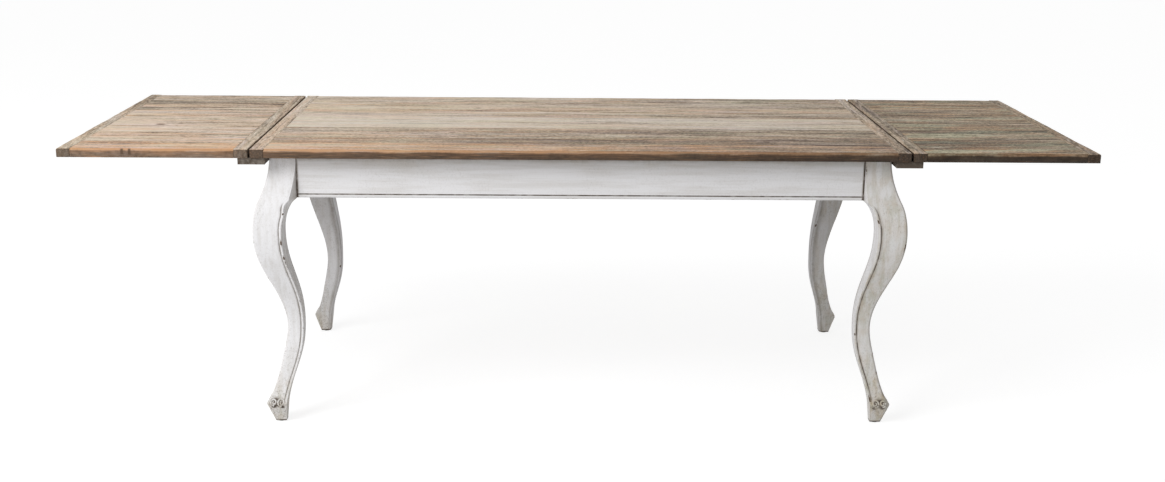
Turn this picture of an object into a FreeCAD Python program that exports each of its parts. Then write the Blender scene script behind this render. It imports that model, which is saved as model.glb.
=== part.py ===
import FreeCAD, Part
import Sketcher
import os
from math import sqrt
from types import SimpleNamespace

# Extending dining table with a pull-off leaf at each end, in millimetres.
# Origin on the floor under the middle of the top, X along the table, the front at -Y.

DRIVING_SIZES = {
    # Top
    "table_height": 780,
    "main_length": 1750,
    "top_width": 900,
    "top_thick": 25,
    "leaf_length": 500,
    "leaf_gap": 6,
    "edge_round": 4,
    "joint_round": 1.2,
    "end_width": 36,
    "tongue_length": 12,
    "tongue_thick": 8,
    "tongue_shoulder": 30,
    "tongue_clear": 0.2,
    # Base
    "overhang_end": 40,
    "overhang_side": 50,
    "post_width": 70,
    "apron_height": 118,
    "apron_thick": 24,
    "apron_setback": 3,
    "apron_bead": 9,
    "apron_bead_round": 5,
    "rail_inset": 362,
    "rail_thick": 24,
    "rail_height": 80,
    "housing_depth": 8,
    "housing_clear": 0.2,
    # Leg curve, moulding and foot
    "shoulder_step": 1.5,
    "shoulder_drop": 18,
    "upper_knee_drop": 40,
    "knee_drop": 90,
    "instep_rise": 90,
    "toe_rise": 58,
    "leg_corner_round": 6,
    "leg_bead": 6,
    "leg_groove_width": 3,
    "leg_groove_depth": 2,
    "sole_outer": 13,
    "sole_inner": -18,
    "glide_radius": 11,
    "glide_thick": 3,
    # Leg fixing
    "block_seat": 20,
    "block_thick": 30,
    "block_height": 80,
    "block_drop": 15,
    "bolt_radius": 4,
    "bolt_clear": 0.2,
    "bolt_in_leg": 45,
    "bolt_tail": 14,
    "bolt_spacing": 40,
    "nut_height": 8,
    "nut_radius": 7.5,
    "flange_radius": 9,
    "flange_thick": 2,
    # Leaf supports
    "bearer_inset": 220,
    "bearer_width": 45,
    "bearer_height": 38,
    "bearer_tail": 60,
    "bearer_end_inset": 8,
    "slide_clear": 0.5,
    "lap_under_main": 37,
    "lap_under_leaf": 28,
    "lap_end_inset": 8,
    "lap_bearer_gap": 3,
    # Screws and the pieces they hold
    "fixing_thick": 18,
    "screw_bite": 12,
    "screw_radius": 2.2,
    "screw_head_radius": 4.5,
    "screw_head_height": 3,
    "screw_tip": 5,
    "screw_clear": 0.15,
    "screw_pair_spacing": 24,
    "lap_screw_inset": 14,
    "button_row_inset": 252,
    "button_length": 36,
    "button_depth": 44,
    "button_tongue": 10,
    "button_tongue_thick": 8,
    "button_screw_inset": 26,
}

# Nominal plank widths from the front, eased together to fill the top's width.
PLANK_WIDTHS = {
    "main": (97, 73, 165, 96, 84, 104, 127, 154),
    "left_leaf": (100, 122, 124, 130, 130, 178, 116),
    "right_leaf": (112, 96, 142, 126, 150, 130, 144),
}

# Outer face of the leg over the apron's height, evenly spaced downward from the top.
POST_OUTER = {"collar": 3, "cheek": 12.5, "brow": 28}

# Outer and inner face of the leg below the apron, downward, from the post's outer face.
SHOULDER_FACES = {"shoulder": (35.5, -52), "upper_knee": (41, -40), "knee": (45.5, -32)}
CALF_FACES = {
    "lower_knee": (37.5, -36.5),
    "upper_calf": (15.5, -50.5),
    "calf": (-9.5, -64),
    "shin": (-24, -69),
    "ankle": (-19, -65.5),
    "heel": (-4.5, -49.5),
    "instep": (15, -29.5),
}
TOE_FACES = {"toe": (31.5, -23)}

# How far a cutting box reaches past the face that it leaves
SPARE = 30

# Buttons along each long apron, counted from its middle
BUTTON_STEPS = (-2, -1, 0, 1, 2)


class Size:
    """A length and the sheet formula that gives it."""

    def __init__(self, formula, value):
        self.formula = formula
        self.value = value

    def __add__(self, other):
        other = as_size(other)
        return Size(f"({self.formula} + {other.formula})", self.value + other.value)

    def __sub__(self, other):
        other = as_size(other)
        return Size(f"({self.formula} - {other.formula})", self.value - other.value)

    def __mul__(self, other):
        other = as_size(other)
        return Size(f"({self.formula} * {other.formula})", self.value * other.value)

    def __truediv__(self, other):
        other = as_size(other)
        return Size(f"({self.formula} / {other.formula})", self.value / other.value)

    def __rsub__(self, other):
        return as_size(other) - self

    def __neg__(self):
        return self * -1

    __radd__ = __add__
    __rmul__ = __mul__


def as_size(number):
    return number if isinstance(number, Size) else Size(f"({number!r})", number)


# The sheet of sizes
document = FreeCAD.newDocument("dining_table")
sheet = document.addObject("Spreadsheet::Sheet", "sizes")
s = SimpleNamespace()
row_count = 0


def add_size(name, number):
    global row_count
    row_count += 1
    sheet.set(f"A{row_count}", name)
    sheet.set(f"B{row_count}", str(number))
    sheet.setAlias(f"B{row_count}", name)
    size = Size(f"sizes.{name}", number)
    setattr(s, name, size)
    return size


for size_name, size_number in DRIVING_SIZES.items():
    add_size(size_name, size_number)

plank_widths = {}
for board, nominal_widths in PLANK_WIDTHS.items():
    widths = [add_size(f"{board}_width_{i}", width) for i, width in enumerate(nominal_widths, start=1)]
    plank_widths[board] = [width * s.top_width / sum(widths) for width in widths]

# Places that follow from the sizes
under_top = s.table_height - s.top_thick
apron_low = under_top - s.apron_height
leg_x = s.main_length / 2 - s.overhang_end
leg_y = s.top_width / 2 - s.overhang_side
apron_back = s.apron_setback + s.apron_thick
leaf_start = s.main_length / 2 + s.leaf_gap
leaf_middle = leaf_start + s.leaf_length / 2
rail_x = leg_x - s.rail_inset
bearer_y = s.top_width / 2 - s.bearer_inset
bearer_start = rail_x - s.bearer_tail
bearer_length = leaf_start + s.leaf_length - s.bearer_end_inset - bearer_start
lap_start = s.main_length / 2 - s.lap_under_main
lap_width = s.lap_under_main + s.leaf_gap + s.lap_under_leaf
lap_screw_x = leaf_start + s.lap_screw_inset
seat_middle = s.post_width - s.block_seat / 2
button_screw_y = leg_y - apron_back - s.button_screw_inset
button_pitch = (leg_x - s.button_row_inset) / max(BUTTON_STEPS)

document.recompute()
nodes = []


# Building steps
def turned(degrees):
    return FreeCAD.Rotation(FreeCAD.Vector(0, 0, 1), degrees)


def bind(item, **sizes):
    for name, size in sizes.items():
        size = as_size(size)
        setattr(item, name, size.value)
        item.setExpression(name, size.formula)


def place(item, x, y, z, rotation):
    base = [as_size(length) for length in (x, y, z)]
    item.Placement = FreeCAD.Placement(FreeCAD.Vector(*[length.value for length in base]), rotation)
    for axis, length in zip("xyz", base):
        item.setExpression(f"Placement.Base.{axis}", length.formula)


def new_body(label, x, y, z, degrees=0):
    body = document.addObject("PartDesign::Body", label)
    body.Label = label
    place(body, x, y, z, turned(degrees))
    nodes.append(body)
    return body


def feature(body, kind, x, y, z, rotation=turned(0), **sizes):
    item = body.newObject("PartDesign::" + kind, kind.lower())
    bind(item, **sizes)
    place(item, x, y, z, rotation)
    return item


def arc_between(start, end, radius):
    half_chord = (end - start) * 0.5
    rise = (radius ** 2 - half_chord.Length ** 2) ** 0.5
    left = FreeCAD.Vector(-half_chord.y, half_chord.x, 0).normalize()
    centre = start + half_chord + left * rise
    circle = Part.Circle(centre, FreeCAD.Vector(0, 0, 1), radius)
    return Part.ArcOfCircle(circle, circle.parameter(start), circle.parameter(end))


def outline(body, plane, height, points):
    """A closed sketch. A point with a third value starts an arc of that radius."""
    sketch = body.newObject("Sketcher::SketchObject", "outline")
    support = next(item for item in body.Origin.OriginFeatures if item.Role == plane)
    sketch.AttachmentSupport = [(support, "")]
    sketch.MapMode = "FlatFace"
    sketch.AttachmentOffset = FreeCAD.Placement(FreeCAD.Vector(0, 0, as_size(height).value), turned(0))
    sketch.setExpression("AttachmentOffset.Base.z", as_size(height).formula)
    points = [[as_size(length) for length in point] for point in points]
    corners = [FreeCAD.Vector(point[0].value, point[1].value, 0) for point in points]
    count = len(points)
    edges = []
    joins = []
    measures = []
    for i, point in enumerate(points):
        start, end = corners[i], corners[(i + 1) % count]
        joins.append(Sketcher.Constraint("Coincident", i, 2, (i + 1) % count, 1))
        measures.append((Sketcher.Constraint("DistanceX", -1, 1, i, 1, point[0].value), point[0]))
        measures.append((Sketcher.Constraint("DistanceY", -1, 1, i, 1, point[1].value), point[1]))
        if len(point) == 3:
            edges.append(arc_between(start, end, point[2].value))
            measures.append((Sketcher.Constraint("Radius", i, point[2].value), point[2]))
        else:
            edges.append(Part.LineSegment(start, end))
    sketch.addGeometry(edges)
    sketch.addConstraint(joins + [constraint for constraint, size in measures])
    for index, (constraint, size) in enumerate(measures, start=len(joins)):
        sketch.setExpression(f"Constraints[{index}]", size.formula)
    return sketch


def pad(body, sketch, length, side="One side"):
    item = body.newObject("PartDesign::Pad", "pad")
    item.Profile = sketch
    item.SideType = side
    bind(item, Length=length)
    return item


def loft(body, sketches, ruled=False):
    item = body.newObject("PartDesign::AdditiveLoft", "loft")
    item.Profile = sketches[0]
    item.Sections = sketches[1:]
    item.Ruled = ruled
    return item


def primitive(kind, x, y, z, rotation=turned(0), **sizes):
    item = document.addObject("Part::" + kind, kind.lower())
    bind(item, **sizes)
    place(item, x, y, z, rotation)
    return item


def fused(pieces):
    item = document.addObject("Part::MultiFuse", "fused")
    item.Shapes = pieces
    return item


def bored(piece, bore):
    item = document.addObject("Part::Cut", "bored")
    item.Base = piece
    item.Tool = bore
    return item


def group(label, pieces):
    item = document.addObject("Part::Compound", label)
    item.Label = label
    item.Links = pieces
    nodes.append(item)
    return item


# Screws and their holes, all upright with the head below
def screw(x, y):
    head_z = under_top - s.fixing_thick
    shank_z = head_z + s.screw_head_height
    tip_z = under_top + s.screw_bite - s.screw_tip
    head = primitive("Cone", x, y, head_z, Radius1=s.screw_head_radius, Radius2=s.screw_radius,
                     Height=s.screw_head_height)
    shank = primitive("Cylinder", x, y, shank_z, Radius=s.screw_radius, Height=tip_z - shank_z)
    tip = primitive("Cone", x, y, tip_z, Radius1=s.screw_radius, Radius2=s.screw_radius / 4,
                    Height=s.screw_tip)
    return fused([head, shank, tip])


def pilot_hole(body, x, y):
    feature(body, "SubtractiveCylinder", x, y, 0, Radius=s.screw_radius + s.screw_clear,
            Height=s.screw_bite + s.screw_clear)


def screw_hole(body, x, y, z=0):
    feature(body, "SubtractiveCylinder", x, y, z, Radius=s.screw_radius + s.screw_clear,
            Height=s.fixing_thick)
    feature(body, "SubtractiveCone", x, y, z, Radius1=s.screw_head_radius + s.screw_clear,
            Radius2=s.screw_radius + s.screw_clear, Height=s.screw_head_height)


# Top boards
def board_outline(body, plane, width, first_round, last_round):
    thick = s.top_thick
    return outline(body, plane, 0, [
        (0, 0),
        (width, 0),
        (width, thick - last_round, last_round),
        (width - last_round, thick),
        (first_round, thick, first_round),
        (0, thick - first_round),
    ])


def plank(label, x, y, width, length, is_first, is_last):
    body = new_body(label, x, y, under_top)
    first_round = s.edge_round if is_first else s.joint_round
    last_round = s.edge_round if is_last else s.joint_round
    pad(body, board_outline(body, "YZ_Plane", width, first_round, last_round), length, "Symmetric")
    first_shoulder = s.tongue_shoulder if is_first else 0
    last_shoulder = s.tongue_shoulder if is_last else 0
    feature(body, "AdditiveBox", -(length / 2 + s.tongue_length), first_shoulder,
            (s.top_thick - s.tongue_thick) / 2, Length=length + s.tongue_length * 2,
            Width=width - first_shoulder - last_shoulder, Height=s.tongue_thick)
    return body


def end_board(label, x, degrees):
    body = new_body(label, x, 0, under_top, degrees)
    pad(body, board_outline(body, "XZ_Plane", s.end_width, s.joint_round, s.edge_round),
        s.top_width, "Symmetric")
    groove_height = s.tongue_thick + s.tongue_clear * 2
    groove_reach = s.top_width / 2 - s.tongue_shoulder + s.tongue_clear
    feature(body, "SubtractiveBox", 0, -groove_reach, (s.top_thick - groove_height) / 2,
            Length=s.tongue_length + s.tongue_clear, Width=groove_reach * 2, Height=groove_height)
    return body


def planks(board, middle_x, length):
    """The lengthways planks of one board, from the front, with their places across it."""
    laid = []
    y = s.top_width / -2
    widths = plank_widths[board]
    for i, width in enumerate(widths):
        label = f"{board}_plank_{i + 1}"
        body = plank(label, middle_x, y, width, length, i == 0, i == len(widths) - 1)
        laid.append((body, y, width))
        y = y + width
    return laid


def main_top():
    length = s.main_length - s.end_width * 2
    for body, y, width in planks("main", 0, length):
        for row_y in (-button_screw_y, button_screw_y):
            hole_y = row_y - y
            if -s.screw_radius.value < hole_y.value < width.value + s.screw_radius.value:
                for step in BUTTON_STEPS:
                    pilot_hole(body, button_pitch * step, hole_y)
    end_board("main_end_right", length / 2, 0)
    end_board("main_end_left", length / -2, 180)


# Base
def apron(label, x, y, degrees, length):
    """Length along local X, outer face at local Y = 0."""
    body = new_body(label, x, y, apron_low, degrees)
    groove = s.leg_groove_width
    section = outline(body, "YZ_Plane", 0, [
        (s.apron_bead_round, 0),
        (s.apron_thick, 0),
        (s.apron_thick, s.apron_height),
        (0, s.apron_height),
        (0, s.apron_bead + groove),
        (s.leg_groove_depth, s.apron_bead + groove / 2),
        (0, s.apron_bead),
        (0, s.apron_bead_round, s.apron_bead_round),
    ])
    pad(body, section, length, "Symmetric")
    return body


def long_apron(label, y, degrees):
    length = (leg_x - s.post_width) * 2
    body = apron(label, 0, y, degrees, length)
    housing_width = s.rail_thick + s.housing_clear * 2
    for side in (-1, 1):
        feature(body, "SubtractiveBox", rail_x * side - housing_width / 2,
                s.apron_thick - s.housing_depth, s.apron_height - s.rail_height - s.housing_clear,
                Length=housing_width, Width=s.housing_depth + SPARE, Height=s.rail_height + SPARE)
    slot_height = s.button_tongue_thick + s.housing_clear * 2
    slot_depth = s.button_tongue + s.housing_clear
    feature(body, "SubtractiveBox", -length / 2, s.apron_thick - slot_depth,
            s.apron_height - s.fixing_thick - s.housing_clear,
            Length=length, Width=slot_depth, Height=slot_height)


def bearer_notches(body, y, thick, top):
    """Notches open at the top that carry the two bearers, through a rail along local X."""
    width = s.bearer_width + s.slide_clear * 2
    for side in (-1, 1):
        feature(body, "SubtractiveBox", bearer_y * side - width / 2, y - SPARE,
                top - s.bearer_height - s.slide_clear,
                Length=width, Width=thick + SPARE * 2, Height=s.bearer_height + SPARE)


def end_apron(label, x, degrees):
    body = apron(label, x, 0, degrees, (leg_y - s.post_width) * 2)
    bearer_notches(body, 0, s.apron_thick, s.apron_height)


def cross_rail(label, x):
    body = new_body(label, x, 0, under_top - s.rail_height, 90)
    half_length = leg_y - apron_back + s.housing_depth - s.housing_clear
    feature(body, "AdditiveBox", -half_length, s.rail_thick / -2, 0,
            Length=half_length * 2, Width=s.rail_thick, Height=s.rail_height)
    bearer_notches(body, s.rail_thick / -2, s.rail_thick, s.rail_height)


# Legs, each drawn as the rear right one with its outer corner at the local origin
def leg_section(body, height, outer, inner):
    bead = s.leg_bead
    groove = s.leg_groove_width
    dip = s.leg_groove_depth
    corner = s.leg_corner_round
    return outline(body, "XY_Plane", height, [
        (outer - bead, inner, bead),
        (outer, inner + bead),
        (outer - dip, inner + bead + groove / 2),
        (outer, inner + bead + groove),
        (outer, outer - corner, corner),
        (outer - corner, outer),
        (inner + bead + groove, outer),
        (inner + bead + groove / 2, outer - dip),
        (inner + bead, outer, bead),
        (inner, outer - bead),
        (inner, inner + corner, corner),
        (inner + corner, inner),
    ])


def add_faces(faces, heights):
    """Leg sections with these faces at these heights."""
    return [(height, add_size(f"{name}_outer", outer), add_size(f"{name}_inner", inner))
            for height, (name, (outer, inner)) in zip(heights, faces.items())]


def post_stations():
    inner = -(s.post_width + s.shoulder_step)
    drop = s.apron_height / len(POST_OUTER)
    stations = [(under_top, as_size(0), inner)]
    for i, (name, outer) in enumerate(POST_OUTER.items(), start=1):
        stations.append((under_top - drop * i, add_size(f"{name}_outer", outer), inner))
    return stations


def free_stations():
    knee_z = apron_low - s.knee_drop
    calf_drop = (knee_z - s.instep_rise) / len(CALF_FACES)
    shoulder_heights = [apron_low - s.shoulder_drop, apron_low - s.upper_knee_drop, knee_z]
    calf_heights = [knee_z - calf_drop * i for i in range(1, len(CALF_FACES) + 1)]
    return (add_faces(SHOULDER_FACES, shoulder_heights) + add_faces(CALF_FACES, calf_heights)
            + add_faces(TOE_FACES, [s.toe_rise]))


post_sections = post_stations()
free_sections = free_stations()
document.recompute()


def bolt_heights():
    middle = under_top - s.block_drop - s.block_height / 2
    return [middle - s.bolt_spacing / 2, middle + s.bolt_spacing / 2]


OUTWARD = FreeCAD.Rotation(FreeCAD.Vector(0, 0, 1), FreeCAD.Vector(1, 1, 0))


def along_diagonal(offset):
    """Local X and Y of a point on a leg bolt's line, that far outward of the block's seat."""
    return offset / sqrt(2) - seat_middle


def leg(label, x, y, degrees):
    body = new_body(label, x, y, 0, degrees)
    post = [leg_section(body, *station) for station in post_sections]
    free = [leg_section(body, *station) for station in free_sections]
    sole = leg_section(body, s.glide_thick, s.sole_outer, s.sole_inner)
    loft(body, post)
    loft(body, post[-1:] + free)
    loft(body, [free[-1], sole], ruled=True)
    # Flat inner faces that the aprons butt against, and the seat of the corner block
    trim_height = s.apron_height + SPARE
    trim_width = s.post_width * 2 + SPARE * 2
    far = -(s.post_width + SPARE)
    feature(body, "SubtractiveBox", far, far, apron_low,
            Length=SPARE, Width=trim_width, Height=trim_height)
    feature(body, "SubtractiveBox", far, far, apron_low,
            Length=trim_width, Width=SPARE, Height=trim_height)
    half_seat = s.block_seat / sqrt(2)
    feature(body, "SubtractiveBox", -seat_middle - half_seat, -seat_middle + half_seat, apron_low,
            turned(225), Length=SPARE, Width=s.block_seat * 2, Height=trim_height)
    for z in bolt_heights():
        start = along_diagonal(as_size(-SPARE))
        feature(body, "SubtractiveCylinder", start, start, z, OUTWARD,
                Radius=s.bolt_radius + s.bolt_clear, Height=s.bolt_in_leg + s.bolt_clear + SPARE)


def corner_block(label, x, y, degrees):
    bottom = under_top - s.block_drop - s.block_height
    body = new_body(label, x, y, bottom, degrees)
    seat_line = seat_middle * 2
    back_line = seat_line + s.block_thick * sqrt(2)
    section = outline(body, "XY_Plane", 0, [
        (-apron_back, apron_back - seat_line),
        (apron_back - seat_line, -apron_back),
        (apron_back - back_line, -apron_back),
        (-apron_back, apron_back - back_line),
    ])
    pad(body, section, s.block_height)
    for z in bolt_heights():
        start = along_diagonal(-s.block_thick - SPARE)
        feature(body, "SubtractiveCylinder", start, start, z - bottom, OUTWARD,
                Radius=s.bolt_radius + s.bolt_clear, Height=s.block_thick + SPARE * 2)


def corner_places():
    """Name, place and turn of each leg."""
    return [
        ("rear_right", leg_x, leg_y, 0),
        ("rear_left", -leg_x, leg_y, 90),
        ("front_left", -leg_x, -leg_y, 180),
        ("front_right", leg_x, -leg_y, 270),
    ]


def corner_points(offset):
    """Sheet place of a point at the same local X and Y of every leg, with the leg's turn."""
    signs = {0: (1, 1), 90: (-1, 1), 180: (-1, -1), 270: (1, -1)}
    for corner, x, y, degrees in corner_places():
        sign_x, sign_y = signs[degrees]
        yield x + offset * sign_x, y + offset * sign_y, degrees


def leg_hardware():
    bolt_start = along_diagonal(-s.block_thick - s.bolt_tail)
    bolt_length = s.block_thick + s.bolt_tail + s.bolt_in_leg
    nut_start = along_diagonal(-s.block_thick - s.nut_height)
    flange_start = along_diagonal(-s.block_thick - s.flange_thick)
    bolts = []
    nuts = []
    for z in bolt_heights():
        for x, y, degrees in corner_points(bolt_start):
            bolts.append(primitive("Cylinder", x, y, z, turned(degrees) * OUTWARD,
                                   Radius=s.bolt_radius, Height=bolt_length))
        for nut_place, flange_place, bore_place in zip(
                corner_points(nut_start), corner_points(flange_start), corner_points(bolt_start)):
            turn = turned(nut_place[2]) * OUTWARD
            hexagon = primitive("Prism", nut_place[0], nut_place[1], z, turn,
                                Circumradius=s.nut_radius, Height=s.nut_height)
            flange = primitive("Cylinder", flange_place[0], flange_place[1], z, turn,
                               Radius=s.flange_radius, Height=s.flange_thick)
            bore = primitive("Cylinder", bore_place[0], bore_place[1], z, turn,
                             Radius=s.bolt_radius + s.bolt_clear, Height=bolt_length)
            nuts.append(bored(fused([hexagon, flange]), bore))
    group("leg_hanger_bolts", bolts)
    group("leg_flange_nuts", nuts)
    sole_middle = (s.sole_outer + s.sole_inner) / 2
    group("foot_glides", [primitive("Cylinder", x, y, 0, Radius=s.glide_radius, Height=s.glide_thick)
                          for x, y, degrees in corner_points(sole_middle)])


# Buttons that hold the top down, their tongues in the long aprons' slots
def top_buttons():
    buttons = []
    screws = []
    face_y = leg_y - apron_back
    for side in (-1, 1):
        for step in BUTTON_STEPS:
            x = button_pitch * step
            block_y = face_y * side - s.button_depth * ((side + 1) // 2)
            tongue_y = face_y * side - s.button_tongue * ((1 - side) // 2)
            block = primitive("Box", x - s.button_length / 2, block_y, under_top - s.fixing_thick,
                              Length=s.button_length, Width=s.button_depth, Height=s.fixing_thick)
            tongue = primitive("Box", x - s.button_length / 2, tongue_y, under_top - s.fixing_thick,
                               Length=s.button_length, Width=s.button_tongue,
                               Height=s.button_tongue_thick)
            y = button_screw_y * side
            bore = primitive("Cylinder", x, y, under_top - s.fixing_thick,
                             Radius=s.screw_radius + s.screw_clear, Height=s.fixing_thick)
            sink = primitive("Cone", x, y, under_top - s.fixing_thick,
                             Radius1=s.screw_head_radius + s.screw_clear,
                             Radius2=s.screw_radius + s.screw_clear, Height=s.screw_head_height)
            buttons.append(bored(fused([block, tongue]), fused([bore, sink])))
            screws.append(screw(x, y))
    group("top_buttons", buttons)
    group("top_button_screws", screws)


# Leaves, each drawn as the right one and turned half round for the left
def bearer(label, side, y):
    body = new_body(label, bearer_start * side, y, under_top - s.bearer_height, 90 - 90 * side)
    feature(body, "AdditiveBox", 0, s.bearer_width / -2, 0,
            Length=bearer_length, Width=s.bearer_width, Height=s.bearer_height)
    feature(body, "SubtractiveBox", -SPARE, s.bearer_width / -2 - SPARE, s.bearer_height - s.slide_clear,
            Length=leaf_start - bearer_start + SPARE, Width=s.bearer_width + SPARE * 2, Height=SPARE)
    for screw_x in end_board_middles():
        for pair in (-1, 1):
            x = screw_x - bearer_start
            hole_y = s.screw_pair_spacing / 2 * pair
            well_depth = s.bearer_height - s.fixing_thick
            feature(body, "SubtractiveCylinder", x, hole_y, 0,
                    Radius=s.screw_head_radius + s.screw_clear, Height=well_depth)
            screw_hole(body, x, hole_y, well_depth)


def lap_batten(label, side, y, length):
    """Batten under the joint, centred at Y, screwed to the leaf and lapping under the main top."""
    body = new_body(label, lap_start * side, y, under_top - s.fixing_thick, 90 - 90 * side)
    feature(body, "AdditiveBox", 0, length / -2, 0,
            Length=lap_width, Width=length, Height=s.fixing_thick)
    feature(body, "SubtractiveBox", -SPARE, length / -2 - SPARE, s.fixing_thick - s.slide_clear,
            Length=leaf_start - lap_start + SPARE, Width=length + SPARE * 2, Height=SPARE)
    for pair in (-1, 1):
        screw_hole(body, lap_screw_x - lap_start, length * pair / 4)


def end_board_middles():
    return [leaf_start + s.end_width / 2, leaf_start + s.leaf_length - s.end_width / 2]


def lap_battens():
    """Name, middle and length of the three battens of one leaf."""
    bearer_edge = s.bearer_width / 2 + s.lap_bearer_gap
    outer_reach = s.top_width / 2 - s.lap_end_inset
    side_length = outer_reach - bearer_y - bearer_edge
    side_middle = outer_reach - side_length / 2
    centre_length = (bearer_y - bearer_edge) * 2
    return [("front", -side_middle, side_length), ("centre", as_size(0), centre_length),
            ("rear", side_middle, side_length)]


def bearer_screw_ys():
    return [bearer_y * side + s.screw_pair_spacing / 2 * pair
            for side in (-1, 1) for pair in (-1, 1)]


def lap_screw_ys():
    return [middle + length * pair / 4 for name, middle, length in lap_battens() for pair in (-1, 1)]


def leaf(name, side):
    planks(name, leaf_middle * side, s.leaf_length - s.end_width * 2)
    inner_board = end_board(f"{name}_end_inner", (leaf_start + s.end_width) * side, 90 + 90 * side)
    outer_board = end_board(f"{name}_end_outer", (leaf_start + s.leaf_length - s.end_width) * side,
                            90 - 90 * side)
    for board in (inner_board, outer_board):
        for y in bearer_screw_ys():
            pilot_hole(board, s.end_width / 2, y)
    for y in lap_screw_ys():
        pilot_hole(inner_board, s.end_width - s.lap_screw_inset, y)
    bearer(f"{name}_bearer_front", side, -bearer_y)
    bearer(f"{name}_bearer_rear", side, bearer_y)
    for place_name, middle, length in lap_battens():
        lap_batten(f"{name}_lap_batten_{place_name}", side, middle, length)
    screws = [screw(x * side, y) for x in end_board_middles() for y in bearer_screw_ys()]
    screws += [screw(lap_screw_x * side, y) for y in lap_screw_ys()]
    group(f"{name}_screws", screws)


# The whole table
main_top()
long_apron("apron_front", s.apron_setback - leg_y, 0)
long_apron("apron_rear", leg_y - s.apron_setback, 180)
end_apron("apron_left", s.apron_setback - leg_x, -90)
end_apron("apron_right", leg_x - s.apron_setback, 90)
cross_rail("cross_rail_left", -rail_x)
cross_rail("cross_rail_right", rail_x)
for corner, corner_x, corner_y, corner_turn in corner_places():
    leg(f"leg_{corner}", corner_x, corner_y, corner_turn)
    corner_block(f"corner_block_{corner}", corner_x, corner_y, corner_turn)
leg_hardware()
top_buttons()
leaf("left_leaf", -1)
leaf("right_leaf", 1)

document.recompute()
for item in document.Objects:
    if "Invalid" in item.State or "Error" in item.State:
        raise RuntimeError(f"{item.Label} did not build: {item.State}")

os.makedirs("parts", exist_ok=True)
for node in nodes:
    if node.Shape.isNull() or not node.Shape.isValid():
        raise RuntimeError(f"{node.Label} has no valid shape")
    node.Shape.exportStep(f"parts/{node.Label}.step")
print(len(nodes), "sub-parts written")
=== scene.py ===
import math

import bpy
import numpy as np
from mathutils import Matrix, Vector


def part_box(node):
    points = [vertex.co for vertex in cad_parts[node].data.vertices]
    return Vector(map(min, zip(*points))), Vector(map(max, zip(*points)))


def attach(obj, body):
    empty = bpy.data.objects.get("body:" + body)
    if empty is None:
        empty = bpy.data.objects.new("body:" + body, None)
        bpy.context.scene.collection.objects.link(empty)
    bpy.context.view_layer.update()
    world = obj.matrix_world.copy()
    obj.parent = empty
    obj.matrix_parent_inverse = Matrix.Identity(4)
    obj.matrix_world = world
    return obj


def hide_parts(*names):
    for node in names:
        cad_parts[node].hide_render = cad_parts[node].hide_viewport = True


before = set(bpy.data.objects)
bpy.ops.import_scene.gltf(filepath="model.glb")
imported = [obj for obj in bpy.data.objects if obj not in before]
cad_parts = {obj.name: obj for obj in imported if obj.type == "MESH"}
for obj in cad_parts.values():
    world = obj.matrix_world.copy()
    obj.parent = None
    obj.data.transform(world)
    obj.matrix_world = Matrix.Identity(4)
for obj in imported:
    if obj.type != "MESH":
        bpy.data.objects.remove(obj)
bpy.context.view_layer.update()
MM = 0.001

# Camera, matched to the photograph
IMAGE_WIDTH = 1165
SENSOR_MM = 36.0
FOCAL_PX = 1414.0
CAMERA_AT = (-0.0677, -4.1159, 1.5046)
YAW, PITCH, ROLL = (math.radians(a) for a in (1.110, 14.817, 0.569))
VIEW_REACH = 100.0


def link(thing):
    """Add an object to the scene."""
    bpy.context.scene.collection.objects.link(thing)
    return thing


def make_camera():
    data = bpy.data.cameras.new("camera")
    data.sensor_width = SENSOR_MM
    data.lens = FOCAL_PX / IMAGE_WIDTH * SENSOR_MM
    data.clip_end = VIEW_REACH
    camera = link(bpy.data.objects.new("camera", data))
    flat = math.cos(PITCH)
    ahead = Vector((math.sin(YAW) * flat, math.cos(YAW) * flat, -math.sin(PITCH)))
    right = Vector((math.cos(YAW), -math.sin(YAW), 0))
    up = right.cross(ahead)
    rolled_right = math.cos(ROLL) * right + math.sin(ROLL) * up
    rolled_up = -math.sin(ROLL) * right + math.cos(ROLL) * up
    turn = Matrix((rolled_right, rolled_up, -ahead)).transposed().to_4x4()
    camera.matrix_world = Matrix.Translation(CAMERA_AT) @ turn
    bpy.context.scene.camera = camera


make_camera()


def colour(red, green, blue):
    """A colour written as it looks, 0 to 255."""
    def straight(value):
        share = value / 255
        return share / 12.92 if share <= 0.04045 else ((share + 0.055) / 1.055) ** 2.4
    return (straight(red), straight(green), straight(blue), 1.0)


# Colours of the boards
CREAM = colour(231, 221, 207)
PALE = colour(213, 200, 181)
TAN = colour(188, 172, 151)
GREY = colour(153, 141, 124)
UMBER = colour(112, 94, 75)
DARK = colour(68, 54, 42)
ORANGE = colour(204, 158, 117)
PINK = colour(203, 176, 153)
OCHRE = colour(200, 180, 148)
SILVER = colour(178, 171, 161)
OLIVE = colour(182, 176, 150)
LAVENDER = colour(186, 171, 175)
ARRIS = colour(182, 138, 99)
RUST = colour(112, 82, 58)
SOOT = colour(50, 40, 31)
EDGE_BROWN = colour(84, 66, 51)
SLIT = colour(94, 78, 62)
CHECK = colour(86, 68, 54)
KNOT_DARK = colour(84, 66, 52)
KNOT_LIGHT = colour(134, 108, 86)
# Colours of the paint
PAINT = colour(227, 226, 227)
PAINT_WORN = colour(216, 214, 213)
BEIGE = colour(187, 174, 151)
SAGE = colour(187, 183, 166)
# Grime is also the colour of painted shade, and the dark wood of chips is also the colour of the deepest
# painted shade
GRIME_AND_SHADE = colour(120, 109, 95)
CHIP_AND_SHADE = colour(66, 54, 44)
# Colours below the top
BARE = colour(124, 115, 105)
BARE_DARK = colour(80, 70, 60)
BARE_LIGHT = colour(164, 146, 126)
STEEL = colour(150, 144, 136)
STEEL_RUST = colour(110, 84, 64)
GLIDE_DARK = colour(30, 27, 24)
GLIDE_LIGHT = colour(58, 52, 46)

NO_SHIFT = (0, 0, 0)
NOISE_REACH = 40


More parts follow.
